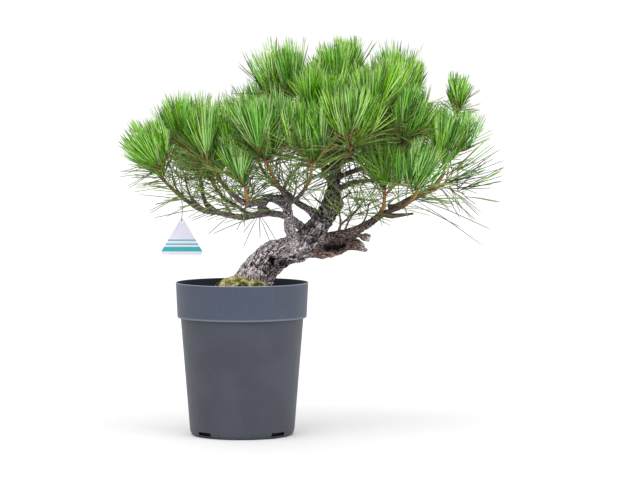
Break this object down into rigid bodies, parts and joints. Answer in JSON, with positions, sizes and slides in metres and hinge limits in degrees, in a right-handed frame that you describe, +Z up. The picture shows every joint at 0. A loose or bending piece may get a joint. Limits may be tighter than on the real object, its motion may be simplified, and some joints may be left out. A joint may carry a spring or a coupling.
{
  "type": "potted_bonsai",
  "caption": "Japanese black pine bonsai with a leaning trunk and a wide needle crown, in a round blue-grey plastic nursery pot, with a hanging tag",
  "frame": {"origin": "middle of the pot's flat underside", "axes": "+Z up the pot's axis, +X towards the side that the trunk leans to, -Y the front that the picture shows"},
  "size_m": [0.5829, 0.4143, 0.5978],
  "materials": {
    "bark": "rough, flaking bark",
    "dead_wood": "weathered dead wood",
    "needles": "satin green needles",
    "pot_plastic": "matt blue-grey injection-moulded plastic",
    "soil": "damp potting mix",
    "moss": "short moss",
    "tag_plastic": "smooth pale sheet plastic",
    "tie": "dark coated wire"
  },
  "bodies": {
    "root": {"arch_bough": "bark", "back_high_needles": "needles", "back_left_bough": "bark", "back_left_needles": "needles", "back_low_bough": "bark", "back_low_left_bough": "bark", "back_low_left_needles": "needles", "back_low_needles": "needles", "back_right_needles": "needles", "far_right_bough": "bark", "far_right_needles": "needles", "front_bough": "bark", "front_centre_needles": "needles", "front_left_bough": "bark", "front_left_needles": "needles", "front_mid_bough": "bark", "front_mid_needles": "needles", "front_right_needles": "needles", "left_high_bough": "bark", "left_high_needles": "needles", "left_shoulder_bough": "bark", "left_shoulder_needles": "needles", "left_tip_bough": "bark", "left_tip_needles": "needles", "loop_bough": "bark", "low_left_bough": "bark", "low_left_needles": "needles", "lower_left_bough": "bark", "lower_right_bough": "bark", "lower_right_needles": "needles", "moss": "moss", "old_stub": "dead_wood", "pot": "pot_plastic", "right_back_bough": "bark", "right_back_needles": "needles", "right_bough": "bark", "right_high_bough": "bark", "right_low_bough": "bark", "right_low_needles": "needles", "right_mid_bough": "bark", "right_mid_needles": "needles", "right_outer_bough": "bark", "right_outer_needles": "needles", "right_top_bough": "bark", "right_top_needles": "needles", "soil": "soil", "tag": "tag_plastic", "tag_tie": "tie", "top_left_bough": "bark", "top_left_needles": "needles", "top_needles": "needles", "top_right_bough": "bark", "top_right_needles": "needles", "trunk": "bark", "upper_centre_needles": "needles", "upper_left_bough": "bark", "upper_left_needles": "needles", "upper_right_bough": "bark", "upper_right_needles": "needles"}
  },
  "joints": []
}
